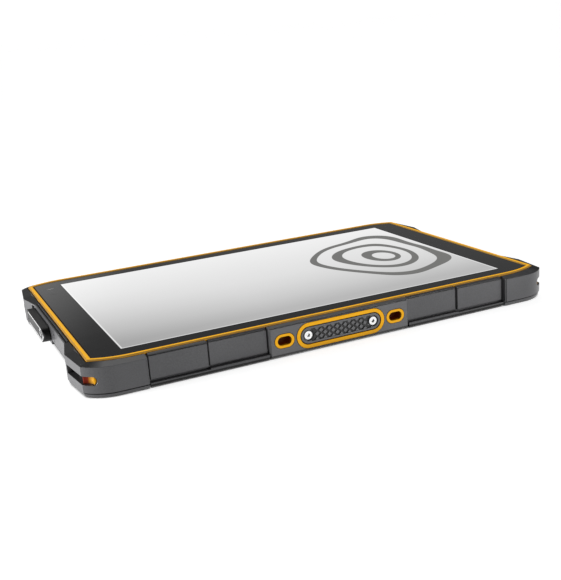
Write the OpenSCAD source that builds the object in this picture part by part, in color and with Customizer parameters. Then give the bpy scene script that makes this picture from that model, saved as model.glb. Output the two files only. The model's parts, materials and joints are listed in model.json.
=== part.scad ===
// Rugged eight-inch tablet used as a field data collector.
// It lies on its back: +Z out of the screen, +X along the long side, -Y is the long side
// that carries the screwed cover of the accessory contacts. Millimetres.

/* [Screen] */
// Length of the lit picture
picture_l = 172.2; // [165:0.1:176]
// Width of the lit picture
picture_w = 107.6; // [102:0.1:110]
// Glass border past each short end of the picture
border_end = 12.2; // [11.5:0.1:14]
// Glass border past each long side of the picture
border_side = 7.3; // [7:0.1:9]
// Thickness of the cover glass
glass_t = 0.85; // [0.7:0.05:0.9]

/* [Body] */
// Height from the rear pads to the crest of the coloured ring
body_t = 13.6; // [13.5:0.1:14.4]
// Width of the coloured ring around the glass
ring_w = 2.2; // [1.8:0.1:2.4]
// Radius of the wide corner arcs
corner_r = 30; // [28:0.5:32]
// Thickness of the rear shell floor
floor_t = 1.8; // [1.6:0.1:2]

/* [Side armour] */
// How far the corner guards stand out of the ring on the long sides
guard_out = 3.7; // [3.4:0.1:4.2]
// How far the outer panels stand out of the ring
outer_panel_out = 1.9; // [1.7:0.1:2.2]
// How far the inner panels stand out of the ring
inner_panel_out = 1.3; // [1.2:0.1:1.6]
// How far the centre plates stand out of the ring
plate_out = 2.9; // [2.7:0.1:3.1]
// How far the end rails stand out of the ring
end_out = 2.2; // [2:0.1:2.4]
// Half length at which the corner guards begin
guard_start = 80; // [79:0.5:82]
// Half length at which the outer panels begin
outer_panel_start = 56; // [52:0.5:60]
// Half length of the centre plates
plate_half = 31.5; // [31.5:0.5:34]

/* [Accessory contacts] */
// Half length of the coloured trim ring
trim_half = 19.9; // [19.5:0.1:20.5]
// Radius of the trim ring's round ends
trim_r = 5.4; // [5.3:0.1:5.5]
// Distance of the two cover screws from the middle
cover_screw_x = 14.6; // [14.3:0.1:14.8]

/* [Keys] */
// Travel of each side key
key_travel = 0.5; // [0.3:0.1:0.6]
// Length of each side key
key_l = 10; // [8:0.5:10.5]

/* [Port cover] */
// Position of the hinge end of the port cover
port_far_y = 34; // [33.5:0.1:34.5]
// Position of the free end of the port cover
port_near_y = -3; // [-4:0.1:-2]
// Thickness of the port cover
port_cover_t = 3.2; // [3:0.1:3.3]

/* [Battery] */
// Length of the battery pack
battery_l = 108; // [100:1:110]
// Width of the battery pack
battery_w = 72; // [66:1:74]

/* [Hidden] */
$fn = 96;

// Gap between two pieces that are fastened together
seam = 0.05;
// Gap round a piece that moves
slide_gap = 0.2;

// Heights
z_crest = body_t;
z_ring = body_t - 0.35;
z_glass = z_ring;
z_rim = body_t - 1.2;
z_skirt = 3.5;
z_split = 3.4;
z_hem = 2.9;
z_back = 0.4;
z_floor = z_back + floor_t;
z_ledge = z_glass - glass_t - 0.25;
z_mid = (z_skirt + z_rim) / 2 - 1.15;

// Outline of the ring that surrounds the glass
frame_hl = picture_l / 2 + border_end + ring_w;
frame_hw = picture_w / 2 + border_side + ring_w;
arc_x = frame_hl - 15.5;
arc_y = frame_hw - corner_r;
wall_t = 3.2;
flank_w = 0.5;
ring_gap = 0.4;
z_gap = z_ring - 0.7;
rear_out = 0.9;

// Corner guard outline, from the long side round to the end
guard_y = frame_hw + guard_out;
guard_arc_x = 91;
guard_arc_r = 15.6;
guard_arc_y = guard_y - guard_arc_r;
guard_edge = [guard_arc_x + 12.4, guard_arc_y + sqrt(guard_arc_r * guard_arc_r - 12.4 * 12.4)];
guard_crown = [frame_hl + 4.9, 44];
guard_root = [frame_hl + end_out, 31];
guard_tiers = [
    [0.4, 1], [0.9, 0.45], [1.6, 0.4], [1.67, 1], [2.03, 1], [2.1, 0], [z_rim - 0.2, 0],
    [z_ring - 0.15, guard_out - 0.05]
];

// Gaps between the side panels, and the narrow groove under each panel's top edge
panel_gap = 0.8;
groove_h = 0.35;
groove_d = 0.45;
z_groove = z_rim - 0.25;

// Lip of the rear shell below the side panels, higher under the inner ones
lip_out = plate_out;
lip_outer_z = 2.1;
lip_inner_z = 2.5;

// Strap slot through each corner guard
slot_h = 3.4;
slot_z = 6.9;
slot_end_x = 98.6;
slot_end_y = guard_crown[1] + 1;

// Curved liner at the round end of each strap slot
liner_t = 0.9;
liner_r = 4;
liner_reach = 4;
liner_x = slot_end_x + seam + liner_t + liner_r;
liner_y = guard_y - 3;

// Accessory contacts, along the near long side
plate_y = frame_hw + plate_out;
trim_gap = 0.2;
trim_w = 1.65;
cover_half = trim_half - trim_w - 2 * slide_gap;
cover_r = trim_r - trim_w - 2 * slide_gap;
block_r = 3.35;
block_half = cover_half - 0.05;
insert_r = 1.85;
stud_pitch = 3.6;
stud_row = 1.2;
stud_r = 0.9;
cover_face_y = plate_y + 0.05;
cover_back_y = frame_hw + 0.6;
screw_shank_r = 0.95;
socket_x = 25;
socket_l = 8.3;
socket_h = 5.6;
socket_in_l = 6;
socket_in_h = 3.6;

// Side keys, along the far long side
key_h = 4;
key_face_y = plate_y + 0.5;
key_tip_y = frame_hw - wall_t + 0.1;
switch_y = key_tip_y - key_travel - 0.05;
key_x = [20, 6.5, -7, -20];

// Port cover, at the left end
port_z = 7.6;
port_r = 3.2;
port_back_x = guard_root[0] + 0.3;
port_face_x = port_back_x + port_cover_t;
hinge_r = port_cover_t / 2;
hinge_x = port_back_x + hinge_r;
hinge_y = port_far_y - hinge_r;
hinge_pin_r = 0.75;
port_screw_y = port_near_y + 6.8;
port_screw_r = 1.75;
port_open_y0 = 8.6;
port_open_y1 = 27.6;
port_open_r = 2.5;
port_lip_r = 2.05;

// Rear details
cover_l = battery_l + 14;
cover_w = battery_w + 14;
cover_z0 = z_back + 0.3;
cover_t = 1;
housing_screw_xy = [
    for (x = [-92, -30, 30, 92], y = [-1, 1]) [x, y * (abs(x) > 60 ? 50 : 55)]
];
cover_bolt_xy = [
    for (x = [-1, 0, 1], y = [-1, 1]) [x * (cover_l / 2 - 3.5), y * (cover_w / 2 - 3.5)]
];
pad_xy = [for (x = [-1, 1], y = [-1, 1]) [x * 84, y * 44]];
camera = [-78, -20];
flash = [-78, -6];
speaker = [82, -32];
bay_rib_z = 3.8;

// Outline of a long rectangle with round ends
module round_slot(l, h) {
    square([l - h, h], center = true);
    for (s = [-1, 1])
        translate([s * (l - h) / 2, 0])
            circle(d = h);
}

// Rectangle with round corners
module round_rect(l, w, r) {
    square([l - 2 * r, w], center = true);
    square([l, w - 2 * r], center = true);
    for (sx = [-1, 1], sy = [-1, 1])
        translate([sx * (l / 2 - r), sy * (w / 2 - r)])
            circle(r = r);
}

// Flat shape in X and Z, made solid between two distances along +Y
module along_y(y0, y1) {
    translate([0, y1, 0])
        rotate([90, 0, 0])
            linear_extrude(y1 - y0)
                children();
}

// Flat shape in Y and Z, made solid between two distances along +X
module along_x(x0, x1) {
    translate([x0, 0, 0])
        rotate([90, 0, 90])
            linear_extrude(x1 - x0)
                children();
}

// Flat shape in X and Y, made solid between two heights
module upright(z0, z1) {
    translate([0, 0, z0])
        linear_extrude(z1 - z0)
            children();
}

// Section across the body: each tier is [height, inset from the half width]
function section(tiers, half) = concat(
    [for (t = tiers) [half - t[1], t[0]]],
    [for (i = [len(tiers) - 1 : -1 : 0]) [tiers[i][1] - half, tiers[i][0]]]
);

// Section of a round part of the wall
function round_section(tiers, r) = concat(
    [[0, tiers[0][0]]],
    [for (t = tiers) [r - t[1], t[0]]],
    [[0, tiers[len(tiers) - 1][0]]]
);

// Section of a straight part of the wall, from far inside
function wall_section(tiers, dist) = concat(
    [[dist - 60, tiers[0][0]]],
    [for (t = tiers) [dist - t[1], t[0]]],
    [[dist - 60, tiers[len(tiers) - 1][0]]]
);

// Solid with the ring's outline, its wall following the tiers
module frame_solid(tiers) {
    z0 = tiers[0][0];
    z1 = tiers[len(tiers) - 1][0];
    intersection() {
        union() {
            along_x(-arc_x, arc_x)
                polygon(section(tiers, frame_hw));
            translate([-arc_x - 25, -arc_y, z0])
                cube([2 * arc_x + 50, 2 * arc_y, z1 - z0]);
            for (sx = [-1, 1], sy = [-1, 1])
                translate([sx * arc_x, sy * arc_y, 0])
                    rotate_extrude()
                        polygon(round_section(tiers, corner_r));
        }
        along_y(-frame_hw - 10, frame_hw + 10)
            polygon(section(tiers, frame_hl));
    }
}

// ---------------------------------------------------------------- shell and frame

// Lip of the rear shell along part of the +Y side
module shell_lip(x0, x1, top) {
    along_x(x0, x1)
        polygon([
            [frame_hw - 1, z_back + 0.1], [frame_hw + lip_out - 0.4, z_back + 0.1],
            [frame_hw + lip_out, z_back + 0.5], [frame_hw + lip_out, top - 0.15],
            [frame_hw + lip_out - 0.15, top], [frame_hw - 1, top]
        ]);
}

// Upright round pegs, or the cutters of holes, at a list of points
module pegs(points, r, z0, z1) {
    for (p = points)
        translate([p[0], p[1], z0])
            cylinder(r = r, h = z1 - z0);
}

module rear_shell() {
    color([0.16, 0.16, 0.17])
    difference() {
        union() {
            difference() {
                frame_solid([[z_back, 0.6], [1.9, -rear_out], [z_split - seam, -rear_out]]);
                frame_solid([[z_floor, wall_t], [z_split + 1, wall_t]]);
            }
            for (sx = [0, 1], sy = [0, 1])
                mirror([sx, 0, 0])
                    mirror([0, sy, 0]) {
                        shell_lip(plate_half + seam, outer_panel_start, lip_inner_z);
                        shell_lip(outer_panel_start, guard_start - 0.4, lip_outer_z);
                    }
            // Screw bosses, and a rib round the battery bay
            pegs(housing_screw_xy, 2.7, z_floor - 0.1, 8);
            upright(z_floor - 0.1, bay_rib_z)
                round_rect(cover_l + 2, cover_w + 2, 6);
        }
        // Battery bay, with a ledge for its cover
        upright(z_back - 1, bay_rib_z + 1)
            round_rect(battery_l + 3, battery_w + 3, 3);
        upright(z_back - 1, cover_z0 + cover_t + 0.15)
            round_rect(cover_l + 0.6, cover_w + 0.6, 5.3);
        pegs(cover_bolt_xy, 0.9, z_back, bay_rib_z - 0.3);
        pegs(housing_screw_xy, 1.1, z_back - 1, 9);
        pegs(housing_screw_xy, 2.1, z_back - 1, z_back + 1);
        // Camera and flash openings
        pegs([camera], 6.1, z_back - 1, z_floor + 1);
        pegs([flash], 2.55, z_back - 1, z_floor + 1);
        // Shallow seats for the rear pads
        for (p = pad_xy)
            translate([p[0], p[1], 0])
                upright(z_back - 1, z_back + 0.35)
                    round_slot(18.2, 6.2);
        // Sound slots
        for (i = [-3 : 3])
            translate([speaker[0] + i * 2.4, speaker[1], 0])
                upright(z_back - 1, z_floor + 1)
                    rotate(90)
                        round_slot(9, 1.2);
        // Grip ribs on both sides of the battery cover
        for (s = [-1, 1], i = [0 : 5])
            translate([s * 80, 6 + i * 5, 0])
                upright(z_back - 1, z_back + 0.35)
                    round_slot(20, 1.6);
    }
}

module mid_frame() {
    color([0.96, 0.66, 0.10])
    difference() {
        frame_solid([[z_split, 0], [z_ring - 0.1, 0], [z_crest, flank_w]]);
        frame_solid([
            [z_ledge, ring_w],
            [z_ring - 0.15, ring_w],
            [2 * z_crest - z_ring + 0.15, ring_w - 2 * flank_w]
        ]);
        frame_solid([[z_split - 1, wall_t], [z_ledge - 1.3, wall_t]]);
        frame_solid([[z_ledge - 1.4, ring_w + 3], [z_ledge + 0.1, ring_w + 3]]);
        // Window for the contact block
        mirror([0, 1, 0])
            translate([0, 0, z_mid])
                along_y(frame_hw - wall_t - 1, frame_hw + 1)
                    square([2 * block_half + 2 * seam, 2 * block_r], center = true);
        // Blind sockets behind the locating slots
        for (s = [-1, 1])
            mirror([0, 1, 0])
                translate([s * socket_x, 0, z_mid])
                    along_y(frame_hw - 2.2, frame_hw + 1)
                        round_slot(socket_l + 0.1, socket_h + 0.1);
        // Seats and plunger holes for the side keys
        for (x = key_x)
            translate([x, 0, z_mid]) {
                along_y(frame_hw - 0.8 - key_travel, frame_hw + 1)
                    round_slot(key_l + 1.6, key_h + 1.6);
                along_y(frame_hw - wall_t - 1, frame_hw)
                    circle(r = 1);
            }
        // Window for the ports
        mirror([1, 0, 0])
            along_x(frame_hl - wall_t - 1, frame_hl + 1)
                port_outline(port_open_r);
        // Sound window
        along_x(frame_hl - wall_t - 1, frame_hl + 1)
            translate([-14, port_z])
                round_slot(16, 3);
    }
}

module cover_glass() {
    color([0.10, 0.10, 0.11])
        frame_solid([
            [z_glass - glass_t, ring_w + 0.3],
            [z_glass - 0.15, ring_w + 0.3],
            [z_glass, ring_w + 0.45]
        ]);
}

module glass_gasket() {
    color([0.08, 0.08, 0.08])
    difference() {
        frame_solid([[z_ledge + seam, ring_w + 0.4], [z_glass - glass_t - 0.02, ring_w + 0.4]]);
        frame_solid([[z_ledge - 1, ring_w + 2.8], [z_glass, ring_w + 2.8]]);
    }
}

module lcd_panel() {
    color([0.55, 0.57, 0.60])
        translate([0, 0, 10.55])
            upright(0, z_glass - glass_t - 10.75)
                round_rect(picture_l + 6, picture_w + 4, 1);
}

module backlight_unit() {
    color([0.85, 0.85, 0.83])
    difference() {
        upright(9, 10.45)
            round_rect(picture_l + 6, picture_w + 4, 1);
        // Folded tray edge round the light guide
        upright(9.4, 11)
            round_rect(picture_l + 4.6, picture_w + 2.6, 0.5);
    }
    color([0.93, 0.94, 0.95])
        upright(9.4, 10.2)
            square([picture_l + 4.2, picture_w + 2.2], center = true);
}

module chassis_plate() {
    color([0.62, 0.63, 0.65])
    difference() {
        frame_solid([[8.05, wall_t + 0.3], [8.8, wall_t + 0.3]]);
        pegs(housing_screw_xy, 0.95, 7, 10);
        // Notches round the contact block and the port block
        translate([-block_half - 1, -frame_hw - 1, 7])
            cube([2 * block_half + 2, wall_t + 2.6, 3]);
        translate([-frame_hl - 1, port_open_y0 - port_open_r - 1, 7])
            cube([wall_t + 6, port_open_y1 - port_open_y0 + 2 * port_open_r + 2, 3]);
        // Lightening windows
        for (x = [-60, -20, 20, 60], y = [-26, 26])
            translate([x, y, 0])
                upright(7, 10)
                    round_rect(26, 34, 4);
    }
}

module housing_screws() {
    color([0.55, 0.56, 0.58])
    for (p = housing_screw_xy)
        translate([p[0], p[1], 0]) {
            difference() {
                translate([0, 0, z_back + 0.15])
                    cylinder(r = 2, h = 0.85);
                upright(z_back, z_back + 0.6)
                    circle(r = 1, $fn = 6);
            }
            translate([0, 0, z_back + 0.95])
                cylinder(r = 0.9, h = 8.7 - z_back - 0.95);
        }
}

module rear_pads() {
    color([0.07, 0.07, 0.07])
    for (p = pad_xy)
        translate([p[0], p[1], 0])
            difference() {
                upright(0, z_back + 0.3)
                    round_slot(18, 6);
                for (i = [-2 : 2])
                    translate([i * 3, 0, 0])
                        upright(-1, 0.2)
                            rotate(90)
                                round_slot(4.4, 0.9);
            }
}

// ---------------------------------------------------------------- electronics

module mainboard() {
    color([0.05, 0.25, 0.12])
    difference() {
        upright(6.3, 7.3)
            translate([77, 0])
                square([33, 90], center = true);
        translate([62, 0, 6])
            cylinder(r = 3, h = 2);
    }
}

module port_board() {
    color([0.05, 0.25, 0.12])
    upright(3.2, 4.1)
        translate([-84, 18])
            square([18, 34], center = true);
}

module circuit_boards() {
    mainboard();
    port_board();
}

module shield_cans() {
    color([0.75, 0.76, 0.78])
    for (p = [[77, 24, 26, 34], [74, -9, 22, 22]])
        difference() {
            upright(4.4, 6.25)
                translate([p[0], p[1]])
                    round_rect(p[2], p[3], 1);
            upright(4.7, 7)
                translate([p[0], p[1]])
                    round_rect(p[2] - 0.8, p[3] - 0.8, 0.6);
        }
}

module battery_pack() {
    color([0.12, 0.12, 0.13])
        upright(cover_z0 + cover_t + 0.25, 7.7)
            round_rect(battery_l, battery_w, 2);
}

module battery_cover() {
    color([0.20, 0.20, 0.21])
    difference() {
        upright(cover_z0, cover_z0 + cover_t)
            round_rect(cover_l, cover_w, 5);
        pegs(cover_bolt_xy, 1.1, 0, 4);
        pegs(cover_bolt_xy, 2.1, 0, cover_z0 + 0.5);
        // Framed field with cross ribs
        upright(0, cover_z0 + 0.25)
            difference() {
                round_rect(cover_l - 22, cover_w - 22, 4);
                for (i = [-2 : 2])
                    translate([i * 18, 0])
                        rotate(30)
                            square([2.4, 120], center = true);
            }
    }
}

module battery_seal() {
    color([0.75, 0.30, 0.10])
    upright(cover_z0 + cover_t + 0.02, cover_z0 + cover_t + 0.13)
        difference() {
            round_rect(battery_l + 5, battery_w + 5, 4);
            round_rect(battery_l + 3.2, battery_w + 3.2, 3);
        }
}

module battery_cover_screws() {
    color([0.62, 0.63, 0.65])
    for (p = cover_bolt_xy)
        translate([p[0], p[1], 0]) {
            difference() {
                translate([0, 0, cover_z0 + 0.02])
                    cylinder(r = 1.9, h = 0.46);
                upright(0, cover_z0 + 0.35)
                    circle(r = 0.9, $fn = 6);
            }
            translate([0, 0, cover_z0 + 0.45])
                cylinder(r = 0.85, h = 2.2);
        }
}

module rear_camera() {
    color([0.10, 0.10, 0.11])
    difference() {
        union() {
            upright(3.2, 7.8)
                translate(camera)
                    round_rect(14, 14, 1.5);
            pegs([camera], 4, 1.7, 3.3);
        }
        translate([camera[0], camera[1], 1])
            cylinder(r1 = 2.9, r2 = 1.6, h = 1.6);
    }
}

module rear_camera_bezel() {
    color([0.30, 0.31, 0.32])
    translate(camera)
        rotate_extrude()
            polygon([
                [4.4, 0.5], [4.8, 0.1], [5.7, 0.1], [6, 0.4],
                [6, 2], [5.2, 2], [5.2, 0.95], [4.4, 0.95]
            ]);
}

module rear_camera_window() {
    color([0.10, 0.14, 0.18])
    pegs([camera], 5.1, 1, 1.6);
}

module flash_lens() {
    color([0.95, 0.93, 0.80])
    pegs([flash], 2.45, 0.45, 2.05);
}

module front_camera() {
    color([0.06, 0.07, 0.10])
    translate([-92.1, 40, 9.2])
        cylinder(r = 2.1, h = z_glass - glass_t - 9.25);
}

module status_light_guide() {
    color([0.85, 0.86, 0.84])
    translate([-92.1, 49, 9.2])
        upright(0, z_glass - glass_t - 9.25)
            round_slot(3, 1);
}

module loudspeaker() {
    color([0.15, 0.15, 0.16])
    difference() {
        upright(2.5, 5.9)
            translate(speaker)
                round_rect(20, 14, 2);
        upright(2, 3)
            translate(speaker)
                round_rect(17, 11, 2);
    }
}

module vibration_motor() {
    color([0.70, 0.71, 0.72])
    translate([-72, -38, 2.3])
        cylinder(r = 5, h = 2.9);
}

module antenna_strips() {
    color([0.80, 0.55, 0.25])
    for (x = [-66, 66])
        translate([x, 0, 0])
            along_y(frame_hw - wall_t - 0.5, frame_hw - wall_t - 0.3)
                translate([0, 5.6])
                    round_rect(36, 4.5, 0.5);
}

// ---------------------------------------------------------------- side armour

// Half space ended by a wall through two outline points
module guard_face(a, b) {
    tangent = b - a;
    normal = [tangent[1], -tangent[0]] / norm(tangent);
    dist = a * normal;
    rotate(atan2(normal[1], normal[0]))
        along_y(-150, 150)
            polygon(wall_section(guard_tiers, dist));
}

// Corner guard for the +X +Y corner
module guard_body() {
    z0 = guard_tiers[0][0];
    z1 = guard_tiers[len(guard_tiers) - 1][0];
    difference() {
        intersection() {
            union() {
                along_x(guard_start + seam, guard_arc_x)
                    polygon(wall_section(guard_tiers, guard_y));
                translate([guard_arc_x, guard_arc_y, 0])
                    rotate_extrude()
                        polygon(round_section(guard_tiers, guard_arc_r));
                translate([guard_arc_x - 0.01, guard_arc_y - 40, z0])
                    cube([guard_arc_r + 10, 40, z1 - z0]);
                translate([guard_start + seam, guard_arc_y - 40, z0])
                    cube([guard_arc_x - guard_start, 40, z1 - z0]);
            }
            guard_face(guard_crown, guard_edge);
            guard_face(guard_root, guard_crown);
            translate([guard_start + seam, guard_root[1] + seam, 0])
                cube([60, 60, 20]);
        }
        frame_solid([
            [z_split - 0.01, -seam], [z_gap, -seam], [z_gap + 0.1, -ring_gap], [z_crest + 1, -ring_gap]
        ]);
        frame_solid([[-1, -rear_out - seam], [z_split, -rear_out - seam]]);
        // Strap slot: round end on the long side, open round the corner
        translate([0, 0, slot_z]) {
            along_y(guard_arc_y, guard_y + 1)
                translate([slot_end_x + 9, 0])
                    round_slot(18, slot_h);
            translate([frame_hl + 0.8, slot_end_y, -slot_h / 2])
                cube([10, guard_edge[1] - slot_end_y, slot_h]);
        }
        // Relief groove under the rim of the guard
        along_x(guard_start - 1, guard_start + 0.6)
            translate([guard_y, z_skirt])
                square([0.6, 30], center = true);
    }
}

module corner_guard_near_left() {
    color([0.36, 0.36, 0.36])
        mirror([1, 0, 0])
            mirror([0, 1, 0])
                guard_body();
}

module corner_guard_near_right() {
    color([0.36, 0.36, 0.36])
        mirror([0, 1, 0])
            guard_body();
}

module corner_guard_far_left() {
    color([0.36, 0.36, 0.36])
    difference() {
        mirror([1, 0, 0])
            guard_body();
        // Room for the hinge end of the port cover
        translate([-frame_hl - 20, guard_root[1] - 1, port_z - port_r - 0.6])
            cube([20 - end_out + 0.05, port_far_y + 1.6 - guard_root[1], 2 * port_r + 1.2]);
    }
}

module corner_guard_far_right() {
    color([0.36, 0.36, 0.36])
        guard_body();
}

// A curved wall leads in from the round end of each strap slot
module strap_liners() {
    color([0.96, 0.66, 0.10])
    for (sx = [0, 1], sy = [0, 1])
        mirror([sx, 0, 0])
            mirror([0, sy, 0])
                intersection() {
                    translate([0, 0, slot_z])
                        along_y(guard_arc_y, guard_y)
                            translate([slot_end_x + seam + 9, 0])
                                round_slot(18, slot_h - 2 * seam);
                    upright(slot_z - slot_h, slot_z + slot_h)
                        intersection() {
                            translate([liner_x, liner_y])
                                difference() {
                                    circle(r = liner_r + liner_t);
                                    circle(r = liner_r);
                                }
                            translate([slot_end_x, liner_y - liner_r - liner_t])
                                square([liner_reach, liner_r + liner_t]);
                        }
                }
}

// Section of a side panel in Y and Z: its hem wraps the rear shell, and a groove runs under
// its sloping top
module panel_section(out) {
    polygon([
        [frame_hw + seam, z_split + seam],
        [frame_hw + rear_out + seam, z_split + seam],
        [frame_hw + rear_out + seam, z_hem],
        [frame_hw + out - 0.15, z_hem],
        [frame_hw + out, z_hem + 0.25],
        [frame_hw + out, z_groove],
        [frame_hw + out - groove_d, z_groove],
        [frame_hw + out - groove_d, z_groove + groove_h],
        [frame_hw + out - 0.15, z_groove + groove_h],
        [frame_hw + out * 0.55, z_rim + 0.45],
        [frame_hw + ring_gap, z_ring - 0.15],
        [frame_hw + ring_gap, z_gap],
        [frame_hw + seam, z_gap]
    ]);
}

// Two stepped panels for the +X +Y side, on one web that shows in the gaps between them
module panel_pair() {
    along_x(plate_half + 0.3, outer_panel_start - panel_gap / 2)
        panel_section(inner_panel_out);
    along_x(outer_panel_start + panel_gap / 2, guard_start - panel_gap)
        panel_section(outer_panel_out);
    along_x(plate_half + seam, guard_start - seam)
        translate([frame_hw + seam, z_split + seam])
            square([groove_d, z_rim - z_split]);
}

module side_panel_near_left() {
    color([0.38, 0.38, 0.38])
        mirror([1, 0, 0])
            mirror([0, 1, 0])
                panel_pair();
}

module side_panel_near_right() {
    color([0.38, 0.38, 0.38])
        mirror([0, 1, 0])
            panel_pair();
}

module side_panel_far_left() {
    color([0.38, 0.38, 0.38])
        mirror([1, 0, 0])
            panel_pair();
}

module side_panel_far_right() {
    color([0.38, 0.38, 0.38])
        panel_pair();
}

// Section of an end rail in X and Z, with a stepped top and an undercut
module rail_section() {
    x0 = frame_hl;
    polygon([
        [x0 + seam, z_skirt],
        [x0 + 0.9, z_skirt],
        [x0 + end_out, z_skirt + 2],
        [x0 + end_out, z_rim - 0.3],
        [x0 + end_out - 0.3, z_rim],
        [x0 + 1.4, z_rim + 0.15],
        [x0 + 1.4, z_groove - groove_h],
        [x0 + 1, z_groove - groove_h],
        [x0 + 1, z_rim + 0.35],
        [x0 + ring_gap, z_ring - 0.2],
        [x0 + ring_gap, z_gap],
        [x0 + seam, z_gap]
    ]);
}

// Stadium outline of the port window in Y and Z
module port_outline(r) {
    translate([(port_open_y0 + port_open_y1) / 2, port_z])
        round_slot(port_open_y1 - port_open_y0 + 2 * r, 2 * r);
}

module end_rail_left() {
    color([0.45, 0.45, 0.45])
    mirror([1, 0, 0])
    difference() {
        union() {
            along_y(-guard_root[1] + seam, guard_root[1] - seam)
                rail_section();
            // Flat seat under the port cover
            translate([frame_hl + seam, port_near_y, z_skirt])
                cube([end_out + 0.1 - seam, guard_root[1] - seam - port_near_y, 7.2]);
        }
        along_x(frame_hl - 1, frame_hl + 10)
            port_outline(port_open_r);
        // Hole for the port cover screw, wide enough for it to swing out
        along_x(frame_hl - 1, frame_hl + 10)
            translate([port_screw_y, port_z])
                circle(r = 1.15);
        // Column of vent holes
        for (i = [-1.5 : 1.5])
            along_x(frame_hl - 1, frame_hl + 10)
                translate([-9.5, 8.9 + i * 1.5])
                    circle(r = 0.5);
    }
}

module end_rail_right() {
    color([0.38, 0.38, 0.38])
    difference() {
        along_y(-guard_root[1] + seam, guard_root[1] - seam)
            rail_section();
        // Sound slots
        for (i = [-3 : 3])
            along_x(frame_hl - 1, frame_hl + 10)
                translate([-14 + i * 2.2, 8.6])
                    rotate(90)
                        round_slot(4.6, 1);
    }
}

// ---------------------------------------------------------------- accessory contacts

// Section of a centre plate in Y and Z: it wraps the ring and the rear shell
module plate_section() {
    polygon([
        [frame_hw + rear_out + seam, z_back + 0.1],
        [plate_y - 0.5, z_back + 0.1],
        [plate_y, z_back + 0.7],
        [plate_y, z_rim],
        [plate_y - groove_d, z_rim],
        [plate_y - groove_d, z_rim + groove_h],
        [plate_y - 0.15, z_rim + groove_h],
        [frame_hw + ring_gap, z_ring - 0.15],
        [frame_hw + ring_gap, z_gap],
        [frame_hw + seam, z_gap],
        [frame_hw + seam, z_split + seam],
        [frame_hw + rear_out + seam, z_split + seam]
    ]);
}

// Centre plate for the +Y side, with its ends chamfered
module plate_blank() {
    intersection() {
        along_x(-plate_half + seam, plate_half - seam)
            plate_section();
        upright(0, 20)
            polygon([
                [-plate_half, frame_hw - 1], [-plate_half, plate_y - 0.8],
                [-plate_half + 0.8, plate_y + 0.01], [plate_half - 0.8, plate_y + 0.01],
                [plate_half, plate_y - 0.8], [plate_half, frame_hw - 1]
            ]);
    }
}

module contact_plate() {
    color([0.40, 0.40, 0.40])
    mirror([0, 1, 0])
    difference() {
        plate_blank();
        translate([0, 0, z_mid])
            along_y(frame_hw - 1, plate_y + 1)
                round_slot(2 * trim_half, 2 * trim_r);
        for (s = [-1, 1])
            translate([s * socket_x, 0, z_mid])
                along_y(frame_hw - 1, plate_y + 1)
                    round_slot(socket_l + 2 * trim_gap, socket_h + 2 * trim_gap);
    }
}

module contact_trim_ring() {
    color([0.96, 0.66, 0.10])
    mirror([0, 1, 0])
    translate([0, 0, z_mid])
    difference() {
        along_y(frame_hw + rear_out + 0.1, plate_y + 0.15)
            round_slot(2 * trim_half - 2 * trim_gap, 2 * trim_r - 2 * trim_gap);
        along_y(frame_hw - 1, plate_y + 1)
            round_slot(2 * trim_half - 2 * trim_w, 2 * trim_r - 2 * trim_w);
    }
}

module contact_block() {
    color([0.07, 0.07, 0.08])
    mirror([0, 1, 0])
    difference() {
        translate([0, 0, z_mid])
            along_y(frame_hw - wall_t - 1, frame_hw - 0.3)
                square([2 * block_half, 2 * block_r - 2 * seam], center = true);
        // Seats of the contact pads
        for (i = [-4 : 4])
            translate([i * 2.4, 0, z_mid])
                along_y(frame_hw - 0.8, frame_hw)
                    square([1.5, 3.2], center = true);
        // A fork at each end holds a thread insert
        for (s = [-1, 1])
            translate([s * cover_screw_x, 0, z_mid])
                along_y(frame_hw - wall_t - 2, frame_hw) {
                    circle(r = insert_r + seam);
                    translate([s * 5, 0])
                        square([10, 2 * insert_r + 2 * seam], center = true);
                }
    }
}

module contact_pads() {
    color([0.85, 0.68, 0.30])
    mirror([0, 1, 0])
    for (i = [-4 : 4])
        translate([i * 2.4, 0, z_mid])
            along_y(frame_hw - 0.78, frame_hw - 0.4)
                square([1.4, 3.1], center = true);
}

module thread_inserts() {
    color([0.78, 0.62, 0.30])
    mirror([0, 1, 0])
    for (s = [-1, 1])
        translate([s * cover_screw_x, 0, z_mid])
            along_y(frame_hw - wall_t - 1, frame_hw - 0.3)
                difference() {
                    circle(r = insert_r);
                    circle(r = screw_shank_r + seam);
                }
}

module contact_cover() {
    color([0.40, 0.40, 0.40])
    mirror([0, 1, 0])
    translate([0, 0, z_mid])
    difference() {
        along_y(cover_back_y, cover_face_y)
            round_slot(2 * cover_half, 2 * cover_r);
        // Seat of the grip pad
        along_y(cover_face_y - 0.8, cover_face_y + 1)
            square([2 * cover_screw_x - 2.4, 5.2], center = true);
        for (s = [-1, 1])
            translate([s * cover_screw_x, 0, 0]) {
                along_y(cover_face_y - 1.6, cover_face_y + 1)
                    circle(r = 2.3);
                along_y(cover_back_y - 1, cover_face_y)
                    circle(r = 1.15);
            }
    }
}

module contact_seal() {
    color([0.05, 0.05, 0.05])
    mirror([0, 1, 0])
    translate([0, 0, z_mid])
        along_y(frame_hw - 0.28, cover_back_y - 0.02)
            difference() {
                round_slot(2 * cover_half - 0.4, 2 * cover_r - 0.4);
                square([2 * cover_half - 13, 3.6], center = true);
                for (s = [-1, 1])
                    translate([s * cover_screw_x, 0])
                        circle(r = 1.3);
            }
}

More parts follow.
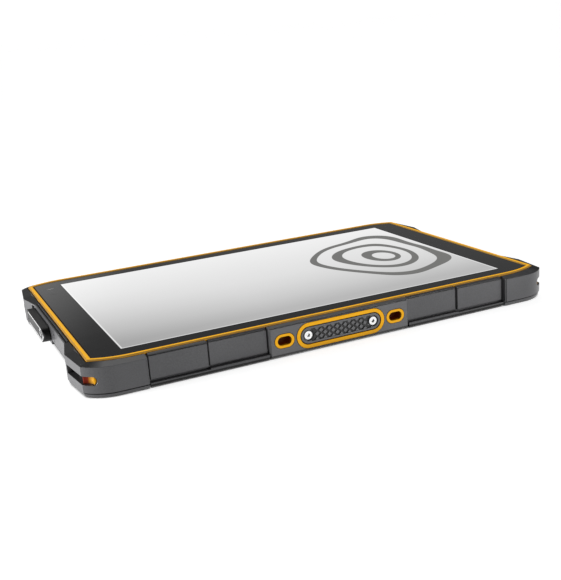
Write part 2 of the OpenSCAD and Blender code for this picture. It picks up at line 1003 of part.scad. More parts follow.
module grip_pad() {
    color([0.10, 0.10, 0.10])
    mirror([0, 1, 0])
    translate([0, 0, z_mid])
    difference() {
        union() {
            along_y(cover_face_y - 0.78, cover_face_y - 0.45)
                square([2 * cover_screw_x - 2.5, 5.1], center = true);
            // Lozenge studs, each second row set half a pitch along
            for (row = [-2 : 2], i = [-3 : 3 - abs(row % 2)])
                translate([(i + abs(row % 2) / 2) * stud_pitch, 0, row * stud_row])
                    along_y(cover_face_y - 0.5, cover_face_y - 0.1)
                        circle(r = stud_r, $fn = 4);
        }
        for (s = [-1, 1])
            translate([s * cover_screw_x, 0, 0])
                along_y(cover_back_y, cover_face_y + 1)
                    circle(r = 2.5);
        // Cuts the studs that pass the pad's edges
        for (s = [-1, 1])
            along_y(cover_back_y, cover_face_y + 1)
                translate([0, s * 5.05])
                    square([60, 5], center = true);
    }
}

// Socket head screw along the Y axis
module cover_screw_body() {
    difference() {
        along_y(cover_face_y - 1.55, cover_face_y - 0.25)
            circle(r = 1.7);
        along_y(cover_face_y - 1, cover_face_y)
            circle(r = 0.8, $fn = 6);
    }
    along_y(frame_hw - wall_t, cover_face_y - 1.5)
        circle(r = screw_shank_r);
}

module cover_screw_left() {
    color([0.80, 0.81, 0.82])
        mirror([0, 1, 0])
            translate([-cover_screw_x, 0, z_mid])
                cover_screw_body();
}

module cover_screw_right() {
    color([0.80, 0.81, 0.82])
        mirror([0, 1, 0])
            translate([cover_screw_x, 0, z_mid])
                cover_screw_body();
}

// Lined blind slot that an accessory's locating tongue enters
module locating_socket() {
    translate([0, 0, z_mid])
    difference() {
        along_y(frame_hw - 2.1, plate_y + 0.1)
            round_slot(socket_l, socket_h);
        along_y(frame_hw - 1.4, plate_y + 1)
            round_slot(socket_in_l, socket_in_h);
    }
}

module locating_socket_left() {
    color([0.96, 0.66, 0.10])
        mirror([0, 1, 0])
            translate([-socket_x, 0, 0])
                locating_socket();
}

module locating_socket_right() {
    color([0.96, 0.66, 0.10])
        mirror([0, 1, 0])
            translate([socket_x, 0, 0])
                locating_socket();
}

// ---------------------------------------------------------------- side keys

module key_plate() {
    color([0.38, 0.38, 0.38])
    difference() {
        plate_blank();
        for (x = key_x)
            translate([x, 0, z_mid])
                along_y(frame_hw - 1, plate_y + 1)
                    round_slot(key_l + 2 * slide_gap, key_h + 2 * slide_gap);
    }
}

// Side key with a holding flange and a plunger
module side_key(x) {
    translate([x, 0, z_mid]) {
        along_y(frame_hw - 0.1, key_face_y)
            round_slot(key_l, key_h);
        along_y(frame_hw - 0.5, frame_hw - 0.1)
            round_slot(key_l + 1.2, key_h + 1.2);
        along_y(key_tip_y, frame_hw - 0.5)
            circle(r = 0.75);
    }
}

module power_key() {
    color([0.14, 0.14, 0.15])
        side_key(key_x[0]);
}

module function_key() {
    color([0.96, 0.66, 0.10])
        side_key(key_x[1]);
}

module volume_up_key() {
    color([0.14, 0.14, 0.15])
        side_key(key_x[2]);
}

module volume_down_key() {
    color([0.14, 0.14, 0.15])
        side_key(key_x[3]);
}

module key_switches() {
    color([0.30, 0.22, 0.10])
    translate([0, 0, z_mid]) {
        // Flexible strip with one small switch behind each key
        along_y(switch_y - 0.9, switch_y - 0.6)
            translate([0, -0.4])
                square([56, 3], center = true);
        for (x = key_x)
            translate([x, 0, 0])
                along_y(switch_y - 0.65, switch_y)
                    square([3, 2.2], center = true);
    }
}

// ---------------------------------------------------------------- port cover

// Port cover seen from above: the hinge end is round about the pin
module port_plan() {
    translate([hinge_x, hinge_y])
        circle(r = hinge_r);
    translate([port_back_x, port_near_y])
        square([port_cover_t - 1.4, hinge_y - port_near_y]);
    translate([port_back_x, port_near_y + 1.4])
        square([port_cover_t, hinge_y - port_near_y - 1.4]);
    translate([port_face_x - 1.4, port_near_y + 1.4])
        circle(r = 1.4);
}

// Face outline of the port cover in Y and Z
module port_face(inset) {
    translate([(port_near_y + port_far_y) / 2, port_z])
        round_slot(port_far_y - port_near_y - 2 * inset, 2 * (port_r - inset));
}

module port_cover() {
    color([0.09, 0.09, 0.10])
    mirror([1, 0, 0])
    difference() {
        union() {
            intersection() {
                upright(0, 20)
                    port_plan();
                along_x(port_back_x, port_face_x)
                    port_face(0);
            }
            // Plug that fills the window
            along_x(frame_hl + 0.3, port_back_x + 0.1)
                port_outline(port_lip_r);
        }
        // Hollow of the plug, over the sockets
        along_x(frame_hl, port_back_x + 0.5)
            port_outline(port_lip_r - 0.8);
        // Room for the hinge lug
        translate([port_back_x - 1, hinge_y - 2.1, port_z - 1.4])
            cube([10, 6, 2.8]);
        translate([hinge_x, hinge_y, 0])
            cylinder(r = hinge_pin_r + 0.02, h = 20);
        // Seat of the face trim and of the screw
        along_x(port_face_x - 0.4, port_face_x + 1)
            difference() {
                port_face(0.4);
                port_face(1.1);
                translate([hinge_y - 3.2, 0])
                    square([20, 20]);
            }
        along_x(port_face_x - 1.5, port_face_x + 1)
            translate([port_screw_y, port_z])
                circle(r = port_screw_r + 0.3);
        along_x(port_back_x - 1, port_face_x)
            translate([port_screw_y, port_z])
                circle(r = 1.1);
    }
}

module port_cover_trim() {
    color([0.78, 0.79, 0.80])
    mirror([1, 0, 0])
    along_x(port_face_x - 0.38, port_face_x + 0.05)
        difference() {
            port_face(0.45);
            port_face(1.05);
            translate([hinge_y - 3.25, 0])
                square([20, 20]);
        }
}

module port_hinge_lug() {
    color([0.20, 0.20, 0.21])
    mirror([1, 0, 0])
    difference() {
        union() {
            translate([frame_hl + end_out, hinge_y - 1.2, port_z - 1.15])
                cube([hinge_x - frame_hl - end_out, 2.4, 2.3]);
            translate([hinge_x, hinge_y, port_z - 1.15])
                cylinder(r = 1.5, h = 2.3);
        }
        translate([hinge_x, hinge_y, 0])
            cylinder(r = hinge_pin_r + 0.05, h = 20);
    }
}

module port_hinge_pin() {
    color([0.75, 0.76, 0.78])
    mirror([1, 0, 0])
        translate([hinge_x, hinge_y, port_z - port_open_r])
            cylinder(r = hinge_pin_r, h = 2 * port_open_r);
}

module port_cover_screw() {
    color([0.80, 0.81, 0.82])
    mirror([1, 0, 0])
    translate([0, port_screw_y, port_z]) {
        difference() {
            along_x(port_face_x - 1.45, port_face_x - 0.1)
                circle(r = port_screw_r);
            along_x(port_face_x - 0.9, port_face_x + 1)
                circle(r = 0.9, $fn = 6);
        }
        along_x(frame_hl + 0.2, port_face_x - 1.4)
            circle(r = 0.8);
    }
}

module port_block() {
    color([0.10, 0.10, 0.11])
    mirror([1, 0, 0])
    difference() {
        along_x(frame_hl - wall_t - 3, frame_hl + 0.1)
            port_outline(port_open_r - 0.05);
        along_x(frame_hl - wall_t - 5, frame_hl + 1)
            translate([23.2, port_z])
                round_slot(9.1, 3.4);
        // Headset socket
        along_x(frame_hl - 5, frame_hl + 1)
            translate([11.6, port_z])
                circle(r = 1.8);
    }
}

module usb_socket() {
    color([0.70, 0.71, 0.73])
    mirror([1, 0, 0])
    difference() {
        along_x(frame_hl - wall_t - 4, frame_hl + 0.05)
            translate([23.2, port_z])
                round_slot(9, 3.3);
        difference() {
            along_x(frame_hl - wall_t - 2, frame_hl + 1)
                translate([23.2, port_z])
                    round_slot(8.4, 2.6);
            // Contact tongue
            along_x(frame_hl - wall_t - 3, frame_hl - 0.6)
                translate([23.2, port_z])
                    square([6.6, 0.7], center = true);
        }
    }
}

rear_shell();
mid_frame();
cover_glass();
glass_gasket();
lcd_panel();
backlight_unit();
chassis_plate();
circuit_boards();
shield_cans();
battery_pack();
battery_cover();
battery_seal();
battery_cover_screws();
rear_camera();
rear_camera_bezel();
rear_camera_window();
flash_lens();
front_camera();
status_light_guide();
loudspeaker();
vibration_motor();
antenna_strips();
housing_screws();
rear_pads();
corner_guard_near_left();
corner_guard_near_right();
corner_guard_far_left();
corner_guard_far_right();
strap_liners();
side_panel_near_left();
side_panel_near_right();
side_panel_far_left();
side_panel_far_right();
end_rail_left();
end_rail_right();
contact_plate();
contact_trim_ring();
contact_block();
contact_pads();
thread_inserts();
contact_cover();
contact_seal();
grip_pad();
cover_screw_left();
cover_screw_right();
locating_socket_left();
locating_socket_right();
key_plate();
power_key();
volume_up_key();
volume_down_key();
function_key();
key_switches();
port_cover();
port_cover_trim();
port_hinge_lug();
port_hinge_pin();
port_cover_screw();
port_block();
usb_socket();
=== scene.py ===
"""Looks of the rugged tablet used as a field data collector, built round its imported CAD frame."""

import json
import math

import bmesh
import bpy
from mathutils import Matrix, Vector


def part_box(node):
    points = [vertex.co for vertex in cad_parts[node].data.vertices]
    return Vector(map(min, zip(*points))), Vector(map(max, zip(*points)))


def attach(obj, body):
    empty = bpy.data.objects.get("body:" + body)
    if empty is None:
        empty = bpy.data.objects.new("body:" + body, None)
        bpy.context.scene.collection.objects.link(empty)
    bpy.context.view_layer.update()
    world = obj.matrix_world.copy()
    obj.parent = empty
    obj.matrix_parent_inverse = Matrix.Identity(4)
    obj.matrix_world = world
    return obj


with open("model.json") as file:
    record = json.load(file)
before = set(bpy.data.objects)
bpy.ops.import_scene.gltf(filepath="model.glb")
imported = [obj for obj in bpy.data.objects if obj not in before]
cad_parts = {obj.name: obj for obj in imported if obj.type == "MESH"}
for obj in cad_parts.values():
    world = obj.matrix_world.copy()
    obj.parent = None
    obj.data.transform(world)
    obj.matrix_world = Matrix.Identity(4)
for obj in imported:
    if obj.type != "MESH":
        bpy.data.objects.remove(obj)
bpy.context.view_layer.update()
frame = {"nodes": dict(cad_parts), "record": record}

MM = 0.001
SHEET = 0.02 * MM  # thickness of a printed film
SHEET_EASE = 0.01 * MM  # how far its top edge is eased
record = frame["record"]
nodes = frame["nodes"]
slot_of = {row["node"]: row["material_slot"] for row in record["subparts"]}


# ------------------------------------------------------------------ shader helpers


def tone(code):
    """Linear colour of an sRGB hex code."""
    parts = [int(code[i : i + 2], 16) / 255 for i in (1, 3, 5)]
    linear = [p / 12.92 if p <= 0.04045 else ((p + 0.055) / 1.055) ** 2.4 for p in parts]
    return (*linear, 1.0)


class Graph:
    """Short calls that add nodes to a shader's node tree."""

    def __init__(self, tree):
        self.tree = tree

    def node(self, kind, **inputs):
        made = self.tree.nodes.new(kind)
        for key, value in inputs.items():
            self.feed(made.inputs[key.replace("_", " ")], value)
        return made

    def feed(self, socket, value):
        if isinstance(value, bpy.types.NodeSocket):
            self.tree.links.new(value, socket)
        else:
            socket.default_value = value

    def place(self, output="Object"):
        """Where the shaded point is on the object, in metres, or its Normal there."""
        return self.node("ShaderNodeTexCoord").outputs[output]

    def axes(self, vector):
        split = self.node("ShaderNodeSeparateXYZ", Vector=vector)
        return split.outputs["X"], split.outputs["Y"], split.outputs["Z"]

    def math(self, operation, *values, clamp=False):
        made = self.tree.nodes.new("ShaderNodeMath")
        made.operation = operation
        made.use_clamp = clamp
        for socket, value in zip(made.inputs, values):
            self.feed(socket, value)
        return made.outputs[0]

    def vector(self, operation, *values):
        made = self.tree.nodes.new("ShaderNodeVectorMath")
        made.operation = operation
        for socket, value in zip(made.inputs, values):
            self.feed(socket, value)
        return made.outputs["Value" if operation in ("DOT_PRODUCT", "LENGTH") else "Vector"]

    def noise(self, scale, detail=2.0, roughness=0.5, vector=None):
        made = self.node(
            "ShaderNodeTexNoise",
            Scale=scale,
            Detail=detail,
            Roughness=roughness,
            Vector=vector or self.place(),
        )
        return made.outputs["Fac"]

    def span(self, value, low, high, start=0.0, end=1.0):
        """Value carried from low..high to start..end, and held there outside."""
        made = self.node("ShaderNodeMapRange", Value=value)
        for name, number in (("From Min", low), ("From Max", high), ("To Min", start), ("To Max", end)):
            made.inputs[name].default_value = number
        return made.outputs["Result"]

    def ramp(self, factor, stops):
        """Colour or value at factor, between (position, colour or number) stops."""
        made = self.node("ShaderNodeValToRGB", Fac=factor)
        band = made.color_ramp
        while len(band.elements) < len(stops):
            band.elements.new(0.5)
        for element, (position, value) in zip(band.elements, stops):
            element.position = position
            element.color = value if hasattr(value, "__len__") else (value, value, value, 1)
        return made.outputs["Color"]

    def mix(self, factor, a, b, blend="MIX"):
        made = self.tree.nodes.new("ShaderNodeMix")
        made.data_type = "RGBA"
        made.blend_type = blend
        for name, value in (("Factor_Float", factor), ("A_Color", a), ("B_Color", b)):
            socket = next(s for s in made.inputs if s.identifier == name)
            self.feed(socket, value)
        return next(s for s in made.outputs if s.identifier == "Result_Color")

    def bump(self, height, depth, strength=1.0, edge=0.0):
        """Fine relief; edge is the radius that the light sees on sharp edges."""
        made = self.node("ShaderNodeBump", Height=height, Distance=depth, Strength=strength)
        if edge:
            round_off = self.node("ShaderNodeBevel", Radius=edge)
            round_off.samples = 4
            self.feed(made.inputs["Normal"], round_off.outputs["Normal"])
        return made.outputs["Normal"]

    def crevice(self, reach, shut=0.35, clear=0.8):
        """0 deep in a groove and 1 on an open face; reach is how far a wall casts its shade."""
        made = self.node("ShaderNodeAmbientOcclusion", Distance=reach)
        made.samples = 8
        return self.span(made.outputs["AO"], shut, clear)


class Shader(Graph):
    """A new material with one Principled shader."""

    def __init__(self, name, **sockets):
        self.material = bpy.data.materials.new(name)
        self.material.use_nodes = True
        super().__init__(self.material.node_tree)
        self.principled = self.tree.nodes["Principled BSDF"]
        self.set(**sockets)

    def set(self, **sockets):
        for socket, value in sockets.items():
            self.feed(self.principled.inputs[socket.replace("_", " ")], value)
        return self


def moulded(
    name, dark, light, rough, grain, depth, painted_top_shade=None, painted_base_shadow=None, shade=0.5 * MM, gloss=0.5, edge=0.0
):
    """Moulded plastic or rubber: mottled colour, a fine grain and painted shade in its grooves. Grain
    is the size of one grain and depth its height. Two colours may be given: painted shade for its
    up-facing end bevels, which are duller too, and a painted shadow along its base. Shade is the width
    of a groove, and edge a corner's radius."""
    s = Shader(name, Specular_IOR_Level=gloss)
    place = s.place()
    fine = s.noise(0.5 / grain, 3.0, 0.6, place)
    broad = s.noise(45.0, 3.0, 0.55, place)
    colour = s.mix(s.span(fine, 0.3, 0.7), tone(dark), tone(light))
    colour = s.mix(1.0, colour, s.ramp(broad, [(0.3, 0.93), (0.7, 1.05)]), blend="MULTIPLY")
    # painted shade: up-facing faces that lean a little toward an end take the given dark colour
    if painted_top_shade:
        along, _, up = s.axes(s.place("Normal"))
        slope = s.span(s.math("ABSOLUTE", along), 0.08, 0.16)
        end = s.math("MULTIPLY", s.span(up, 0.6, 0.85), slope)
        colour = s.mix(end, colour, tone(painted_top_shade))
    # painted shadow: the lowest 1.5 mm of the piece takes the given dark colour
    if painted_base_shadow:
        height = s.axes(place)[2]
        colour = s.mix(s.span(height, 1.45 * MM, 1.6 * MM), tone(painted_base_shadow), colour)
    # painted shade: near black deep in grooves, where nearby walls shut out light
    colour = s.mix(s.crevice(shade), tone("#050505"), colour)
    roughness = s.span(broad, 0.25, 0.75, rough - 0.05, rough + 0.05)
    if painted_top_shade:
        roughness = s.math("ADD", roughness, s.math("MULTIPLY", end, 0.4))
    return s.set(
        Base_Color=colour, Roughness=roughness, Normal=s.bump(fine, depth, 0.6, edge)
    ).material


def metal(name, dark, light, rough, streak=(1.0, 1.0, 1.0), grain=0.25 * MM):
    """Metal with fine machining streaks, darkened by painted shade in its crevices; streak stretches
    the streaks along an axis where it is small.
    """
    s = Shader(name, Metallic=1.0)
    lines = s.noise(0.5 / grain, 3.0, 0.6, s.vector("MULTIPLY", s.place(), streak))
    colour = s.mix(lines, tone(dark), tone(light))
    # painted shade: near black in crevices, where nearby walls shut out light
    colour = s.mix(s.crevice(0.5 * MM), tone("#0a0a0a"), colour)
    roughness = s.span(lines, 0.3, 0.7, rough - 0.06, rough + 0.06)
    return s.set(Base_Color=colour, Roughness=roughness, Normal=s.bump(lines, 0.01 * MM, 0.3)).material


# ------------------------------------------------------------------ materials


def armour_material():
    # painted shade: its up-facing end bevels are near black
    return moulded(
        "armour_grey", "#3c3c3e", "#474749", 0.33, 0.25 * MM, 0.01 * MM, painted_top_shade="#0e0e0f", gloss=0.45,
        edge=0.25 * MM,
    )


def plate_material():
    # painted shadow: near black along its base
    return moulded(
        "plate_grey", "#474749", "#515153", 0.35, 0.2 * MM, 0.008 * MM, painted_base_shadow="#060606", gloss=0.5,
        edge=0.2 * MM,
    )


def rear_shell_material():
    # painted shadow: near black along its base
    return moulded(
        "shell_grey", "#3d3d3f", "#48484a", 0.4, 0.3 * MM, 0.015 * MM, painted_base_shadow="#050505", gloss=0.25,
        edge=0.2 * MM,
    )


def shell_material():
    return moulded(
        "shell_black", "#0b0b0c", "#121213", 0.45, 0.3 * MM, 0.012 * MM, gloss=0.25, edge=0.6 * MM
    )


def orange_material(name="signal_orange", fade=None):
    """Satin fluorescent orange plastic whose brightness is a painted glow (emission): painted light
    makes it brightest on a flat top, and painted shade makes it duller on its bevels, dark where it
    meets another piece and dark red deep inside. Fade is where, out from the middle, a piece sinks into
    painted shade."""
    # painted glow: the orange emits light of its own, though it is no lamp
    s = Shader(name, Specular_IOR_Level=0.12, Emission_Strength=0.93)
    place = s.place()
    fine = s.noise(1100.0, 3.0, 0.6, place)
    broad = s.noise(60.0, 2.0, 0.5, place)
    up = s.axes(s.place("Normal"))[2]
    # painted shade: faces tilted between upright and level are darkened brown
    painted_bevel_shade = s.math("SUBTRACT", s.span(up, 0.35, 0.5), s.span(up, 0.85, 0.95))
    # painted shade: near black where it meets another piece, dark red deep inside
    painted_seam_shade = s.crevice(0.45 * MM, 0.4, 0.9)
    inside = s.crevice(8.0 * MM, 0.35, 0.8)

    def shaded(dark, light):
        colour = s.mix(s.span(fine, 0.3, 0.7), tone(dark), tone(light))
        colour = s.mix(1.0, colour, s.ramp(broad, [(0.3, 0.95), (0.7, 1.04)]), blend="MULTIPLY")
        colour = s.mix(painted_bevel_shade, colour, tone("#82622c"))
        # painted shade: past fade, out from the middle, the colour goes dark red
        if fade:
            out = s.math("ABSOLUTE", s.axes(place)[0])
            colour = s.mix(s.span(out, fade, fade + 1.2 * MM), colour, tone("#5c1400"))
        return s.mix(painted_seam_shade, tone("#1d0a02"), s.mix(inside, tone("#2a0800"), colour))

    # painted light: the glow is dimmer on faces that don't point straight up
    lit = s.ramp(s.span(up, 0.9, 0.98), [(0.0, 0.67), (1.0, 1.0)])
    glow = s.mix(1.0, shaded("#e6a606", "#eeaf10"), lit, blend="MULTIPLY")
    return s.set(
        Base_Color=shaded("#865c04", "#92660a"),
        # painted glow: the emission colour carries most of the orange's brightness
        Emission_Color=glow,
        Roughness=s.span(broad, 0.25, 0.75, 0.42, 0.5),
        Normal=s.bump(fine, 0.006 * MM, 0.5, 0.15 * MM),
    ).material


def rubber_material():
    return moulded("rubber_black", "#0b0b0b", "#151515", 0.55, 0.3 * MM, 0.02 * MM)


def stud_material():
    """Black rubber whose stud tops are grey."""
    s = Shader("stud_rubber", Specular_IOR_Level=0.4)
    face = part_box("grip_pad")[0].y
    fine = s.noise(2000.0, 3.0, 0.6)
    stud_top_grey = s.mix(fine, tone("#48484a"), tone("#5c5c5e"))
    depth = s.math("SUBTRACT", s.axes(s.place())[1], face)
    colour = s.mix(s.span(depth, 0.04 * MM, 0.12 * MM), stud_top_grey, tone("#080808"))
    return s.set(
        Base_Color=colour,
        Roughness=s.span(fine, 0.3, 0.7, 0.4, 0.5),
        Normal=s.bump(fine, 0.01 * MM, 0.6, 0.15 * MM),
    ).material


def key_material():
    return moulded("key_black", "#141416", "#1d1d20", 0.45, 0.3 * MM, 0.012 * MM)


def module_material():
    return moulded("module_black", "#0c0c0e", "#17171a", 0.5, 0.3 * MM, 0.015 * MM)


def seal_material():
    return moulded("seal_red", "#8a2c14", "#a53a1c", 0.6, 0.4 * MM, 0.01 * MM)


def wrap_material():
    return moulded("battery_wrap", "#1a1a1c", "#232326", 0.38, 1.2 * MM, 0.03 * MM)


def board_material():
    """Solder mask over faint copper tracks."""
    s = Shader("board_green", Roughness=0.3, Coat_Weight=0.4)
    cells = s.node("ShaderNodeTexVoronoi", Scale=420.0, Vector=s.place())
    cells.distance = "CHEBYCHEV"
    track = s.ramp(cells.outputs["Distance"], [(0.28, 0.0), (0.34, 1.0)])
    colour = s.mix(track, tone("#0f4a2b"), tone("#1c6b3e"))
    return s.set(Base_Color=colour, Normal=s.bump(track, 0.03 * MM, 0.5)).material


def film_material():
    s = Shader("panel_film", Coat_Weight=0.5)
    cloudy = s.noise(90.0, 2.0)
    colour = s.mix(cloudy, tone("#8d9298"), tone("#a5aaae"))
    return s.set(Base_Color=colour, Roughness=s.span(cloudy, 0.3, 0.7, 0.22, 0.34)).material


def diffuser_material():
    s = Shader("light_guide", Subsurface_Weight=0.15)
    cloudy = s.noise(160.0, 2.0)
    colour = s.mix(cloudy, tone("#d9d8cf"), tone("#eeeeea"))
    return s.set(Base_Color=colour, Roughness=s.span(cloudy, 0.3, 0.7, 0.3, 0.42)).material


def copper_film_material():
    """Printed film with a meander of copper lines."""
    s = Shader("copper_film", Roughness=0.35)
    wave = s.node("ShaderNodeTexWave", Scale=260.0, Distortion=1.5, Vector=s.place())
    lines = s.span(wave.outputs["Fac"], 0.45, 0.55)
    return s.set(Base_Color=s.mix(lines, tone("#7a4a1e"), tone("#c98a4c"))).material


def lens_material():
    """Dark coated glass with a faint blue bloom, painted into its colour as a sheen toward grazing
    angles.
    """
    s = Shader("lens_glass", Coat_Weight=1.0, Coat_Roughness=0.02)
    # painted reflection: the colour turns pale blue toward grazing angles
    painted_sheen = s.node("ShaderNodeLayerWeight", Blend=0.35).outputs["Facing"]
    colour = s.mix(painted_sheen, tone("#0b1016"), tone("#23384a"))
    return s.set(Base_Color=colour, Roughness=s.span(s.noise(300.0), 0.3, 0.7, 0.05, 0.09)).material


def glass_material():
    """Polished cover glass over its dark printed border, with faint smudges in the gloss."""
    s = Shader("screen_glass", Specular_IOR_Level=0.5)
    smudge = s.noise(38.0, 4.0, 0.6)
    colour = s.mix(smudge, tone("#0a0a0b"), tone("#101011"))
    return s.set(Base_Color=colour, Roughness=s.span(smudge, 0.35, 0.65, 0.07, 0.12)).material


def mark_material():
    """Frosted window printed on the underside of the glass."""
    s = Shader("status_mark", Roughness=0.25)
    frost = s.noise(2500.0, 2.0)
    return s.set(Base_Color=s.mix(frost, tone("#a6a6a6"), tone("#bababa"))).material


def picture_material(half_l, half_w):
    """The lit picture: a dark edge line, a bright rim, a pale field that darkens toward its near
    left corner, and the contour lines of an invented hill map at its right."""
    s = Shader("display_picture", Roughness=0.12, Specular_IOR_Level=0.15, Emission_Strength=1.0)
    x, y, _ = s.axes(s.place())
    field = s.ramp(
        s.span(y, -half_w, half_w),
        [(0.0, 0.46), (0.06, 0.46), (0.2, 0.57), (0.36, 0.66), (0.5, 0.72), (0.75, 0.78), (1.0, 0.84)],
    )
    near = s.span(y, -0.9 * half_w, 0.4 * half_w, 1.0, 0.0)
    left = s.span(x, -half_l, -0.25 * half_l, 1.0, 0.0)
    corner = s.math("SUBTRACT", 1.0, s.math("MULTIPLY", s.math("MULTIPLY", near, left), 0.2))
    field = s.mix(1.0, field, s.ramp(corner, [(0.0, 0.0), (1.0, 1.0)]), blend="MULTIPLY")

    hill = Vector((0.70 * half_l, -0.05 * half_w, 0))
    away = s.vector("MULTIPLY", s.vector("SUBTRACT", s.place(), hill), (1.0, 0.75, 0.0))
    sway, step, reach = 14 * MM, 10 * MM, 35 * MM  # of the contour lines
    wander = s.span(s.noise(20.0, 0.5), 0.0, 1.0, -sway, sway)
    level = s.math("ADD", s.vector("LENGTH", away), wander)
    wave = s.math("COSINE", s.math("MULTIPLY", level, 2 * math.pi / step))
    inside = s.span(level, reach - 0.1 * MM, reach + 0.1 * MM, 1.0, 0.0)
    line = s.math("MULTIPLY", s.span(wave, 0.40, 0.48), inside)
    field = s.mix(line, field, tone("#6d6d6b"))

    gap_x = s.math("SUBTRACT", half_l, s.math("ABSOLUTE", x))
    gap_y = s.math("SUBTRACT", half_w, s.math("ABSOLUTE", y))
    gap = s.math("MINIMUM", gap_x, gap_y)
    rim = s.math("MULTIPLY", s.span(gap, 0.5 * MM, 0.7 * MM, 1.0, 0.0), 0.6)
    field = s.mix(rim, field, (1, 1, 1, 1))
    field = s.mix(s.span(gap, -0.1 * MM, 0.05 * MM), (0.012, 0.012, 0.012, 1), field)
    grime = s.ramp(s.noise(60.0, 3.0), [(0.3, 0.001), (0.7, 0.002)])
    return s.set(Base_Color=grime, Emission_Color=field)


MATERIALS = {
    "armour_grey": armour_material,
    "plate_grey": plate_material,
    "shell_grey": rear_shell_material,
    "shell_black": shell_material,
    "signal_orange": orange_material,
    "screen_glass": glass_material,
    "lens_glass": lens_material,
    "key_black": key_material,
    "rubber_black": rubber_material,
    "screw_steel": lambda: metal("screw_steel", "#d6d7d8", "#f6f6f6", 0.22),
    "chassis_alloy": lambda: metal("chassis_alloy", "#9a9b9e", "#b9babd", 0.42),
    "tin_plate": lambda: metal("tin_plate", "#a9aaad", "#c8c9cb", 0.32, streak=(1, 0.1, 1)),
    "board_green": board_material,
    "battery_wrap": wrap_material,
    "contact_gold": lambda: metal("contact_gold", "#c79a3c", "#e8c268", 0.28),
    "insert_brass": lambda: metal("insert_brass", "#a8853f", "#cba75a", 0.34),
    "panel_film": film_material,
    "light_guide": diffuser_material,
    "module_black": module_material,
    "copper_film": copper_film_material,
    "seal_red": seal_material,
}


def paint_nodes():
    """Gives each CAD node the material of its slot in the record."""
    made = {slot: make() for slot, make in MATERIALS.items()}
    for name, node in nodes.items():
        node.data.materials.clear()
        node.data.materials.append(made[slot_of[name]])
    nodes["grip_pad"].data.materials[0] = stud_material()
    mouth = 2.6 * MM  # length of the liner that light reaches
    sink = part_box("strap_liners")[1].x - mouth
    # painted shade: the liner goes dark red past the length that light reaches
    nodes["strap_liners"].data.materials[0] = orange_material("liner_orange", sink)
    return made


# ------------------------------------------------------------------ mesh helpers


def new_piece(name, mesh, material, body):
    piece = bpy.data.objects.new(name, mesh)
    bpy.context.scene.collection.objects.link(piece)
    mesh.materials.append(material)
    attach(piece, body)
    return piece


def mesh_of(name, work):
    mesh = bpy.data.meshes.new(name)
    bmesh.ops.recalc_face_normals(work, faces=work.faces)
    work.to_mesh(mesh)
    work.free()
    return mesh


def arc(centre, radius, start, end, steps):
    """Points of a flat arc, its angles in degrees."""
    turns = [math.radians(start + (end - start) * i / steps) for i in range(steps + 1)]
    return [(centre[0] + radius * math.cos(t), centre[1] + radius * math.sin(t)) for t in turns]


def round_rect(half_l, half_w, radius, steps=6):
    x, y = half_l - radius, half_w - radius
    return (
        arc((x, y), radius, 0, 90, steps)
        + arc((-x, y), radius, 90, 180, steps)
        + arc((-x, -y), radius, 180, 270, steps)
        + arc((x, -y), radius, 270, 360, steps)
    )


def stack(work, rings):
    """Closed solid through rings of points, each ring with the same number of points."""
    loops = [[work.verts.new(point) for point in ring] for ring in rings]
    count = len(loops[0])
    for low, high in zip(loops, loops[1:]):
        for i in range(count):
            j = (i + 1) % count
            work.faces.new((low[i], low[j], high[j], high[i]))
    work.faces.new(loops[0][::-1])
    work.faces.new(loops[-1])


def slab_rings(outline, low, high, ease):
    """Rings of a thin slab whose top edge is eased: outline is a function of an inset."""
    levels = [(0.0, low), (0.0, high - ease), (0.3 * ease, high - 0.3 * ease), (ease, high)]
    return [[Vector((x, y, z)) for x, y in outline(inset)] for inset, z in levels]


# ------------------------------------------------------------------ camera, light and floor


def make_camera():
    """Camera at the object's left front, a hand's height above the table, rolled a little."""
    azimuth, elevation, roll = math.radians(23.617), math.radians(-16.375), math.radians(-4.367)
    place = Vector((-159.6, -373.73, 126.04)) * MM
    forward = Vector(
        (
            math.sin(azimuth) * math.cos(elevation),
            math.cos(azimuth) * math.cos(elevation),
            math.sin(elevation),
        )
    )
    level = Vector((math.cos(azimuth), -math.sin(azimuth), 0))
    upright = level.cross(forward)
    right = level * math.cos(roll) + upright * math.sin(roll)
    up = right.cross(forward)
    turn = Matrix((right, up, -forward)).transposed()
    data = bpy.data.cameras.new("camera")
    data.lens = 56.94
    data.sensor_width = 36
    data.clip_start = 0.01
    data.clip_end = 200
    camera = bpy.data.objects.new("camera", data)
    camera.matrix_world = Matrix.Translation(place) @ turn.to_4x4()
    bpy.context.scene.collection.objects.link(camera)
    bpy.context.scene.camera = camera


def make_sky():
    """Studio light: white at the horizon and dim above it, with a low glow and a high soft patch.
    Each of these is round: full is its radius at full strength and edge where it has faded out."""
    world = bpy.data.worlds.new("studio")
    bpy.context.scene.world = world
    world.use_nodes = True
    g = Graph(world.node_tree)
    direction = g.place("Generated")
    horizon = [(0.0, 1.2), (0.04, 1.2), (0.08, 0.45), (0.14, 0.22)]
    overhead = [(0.26, 0.19), (0.33, 0.15), (0.5, 0.1), (1.0, 0.1)]
    light = g.ramp(g.axes(direction)[2], horizon + overhead)
    low_glow, high_patch = (4, 9, 6, 11, 0.42), (16, 56, 15, 26, 1.4)
    for azimuth, elevation, full, edge, strength in (low_glow, high_patch):
        turn, rise = math.radians(azimuth), math.radians(elevation)
        centre = (math.sin(turn) * math.cos(rise), math.cos(turn) * math.cos(rise), math.sin(rise))
        near = g.vector("DOT_PRODUCT", direction, centre)
        share = g.span(near, math.cos(math.radians(edge)), math.cos(math.radians(full)))
        glow = g.ramp(share, [(0.0, 0.0), (1.0, strength)])
        light = g.mix(1.0, light, glow, blend="ADD")
    g.feed(world.node_tree.nodes["Background"].inputs["Color"], light)


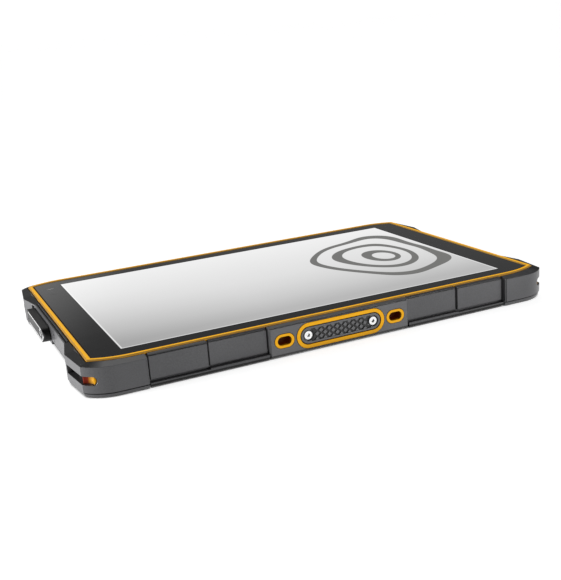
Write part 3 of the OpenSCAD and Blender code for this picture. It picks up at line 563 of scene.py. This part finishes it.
def soft_box(name, place, aim, size, power):
    """A rectangular lamp; sizes and places in metres, power in watts."""
    data = bpy.data.lights.new(name, "AREA")
    data.shape = "RECTANGLE"
    data.size, data.size_y = size
    data.energy = power
    light = bpy.data.objects.new(name, data)
    light.location = place
    light.rotation_mode = "QUATERNION"
    light.rotation_quaternion = (Vector(aim) - Vector(place)).to_track_quat("-Z", "Y")
    bpy.context.scene.collection.objects.link(light)


def make_floor():
    """A wide white table top, faintly lit from within so that it stays white all the way back, with a
    painted contact shadow under the object.
    """
    half = 40.0
    mesh = bpy.data.meshes.new("floor")
    corners = [(-half, -half, 0), (half, -half, 0), (half, half, 0), (-half, half, 0)]
    mesh.from_pydata(corners, [], [(0, 1, 2, 3)])
    s = Shader("floor_white", Roughness=0.9, Specular_IOR_Level=0.0, Emission_Strength=0.85)
    cloudy = s.noise(0.8, 1.0)
    # painted shadow: dark and unlit under and right beside the object, where it shuts out light
    outside_painted_shadow = s.crevice(2.0 * MM, 0.1, 0.55)
    pale = s.mix(cloudy, tone("#c4c4c4"), tone("#c8c8c8"))
    s.set(
        Base_Color=s.mix(outside_painted_shadow, tone("#101010"), pale),
        Emission_Color=s.mix(outside_painted_shadow, (0, 0, 0, 1), (1, 1, 1, 1)),
    )
    mesh.materials.append(s.material)
    floor = bpy.data.objects.new("floor", mesh)
    bpy.context.scene.collection.objects.link(floor)


# ------------------------------------------------------------------ pieces


def make_picture():
    """The lit picture, a thin sheet with round corners on the cover glass."""
    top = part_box("cover_glass")[1].z
    panel_low, panel_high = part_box("lcd_panel")
    border_x, border_y = 3.0 * MM, 2.0 * MM
    half_l = (panel_high.x - panel_low.x) / 2 - border_x
    half_w = (panel_high.y - panel_low.y) / 2 - border_y
    line, corner = 0.5 * MM, 1.0 * MM

    def outline(inset):
        return round_rect(half_l + line - inset, half_w + line - inset, corner)

    work = bmesh.new()
    stack(work, slab_rings(outline, top, top + SHEET, SHEET_EASE))
    material = picture_material(half_l, half_w).material
    new_piece("display_picture", mesh_of("display_picture", work), material, "root")


def make_glass_mark(name, node, half_l, half_w, radius, material):
    """A printed window on the glass, over the middle of a node that lies under it."""
    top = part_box("cover_glass")[1].z
    low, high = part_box(node)
    middle = (low + high) / 2

    def outline(inset):
        points = round_rect(half_l - inset, half_w - inset, radius - inset)
        return [(middle.x + x, middle.y + y) for x, y in points]

    work = bmesh.new()
    stack(work, slab_rings(outline, top, top + SHEET, SHEET_EASE))
    new_piece(name, mesh_of(name, work), material, "root")


def make_glass_marks():
    """The windows of the status light and the front camera, on the glass border."""
    make_glass_mark(
        "status_window",
        "status_light_guide",
        half_l=1.5 * MM,
        half_w=0.5 * MM,
        radius=0.45 * MM,
        material=mark_material(),
    )
    make_glass_mark(
        "camera_window",
        "front_camera",
        half_l=1.5 * MM,
        half_w=1.5 * MM,
        radius=1.49 * MM,
        material=materials["screen_glass"],
    )


bpy.context.scene.view_settings.view_transform = "Standard"
make_camera()
make_sky()
make_floor()
materials = paint_nodes()
make_picture()
make_glass_marks()
soft_box("front_box", place=(0.36, -0.50, 0.06), aim=(0.02, -0.06, 0.01), size=(0.6, 0.09), power=2.4)
soft_box("left_box", place=(-0.78, 0.13, 0.07), aim=(-0.1, 0.0, 0.01), size=(0.3, 0.1), power=11.0)
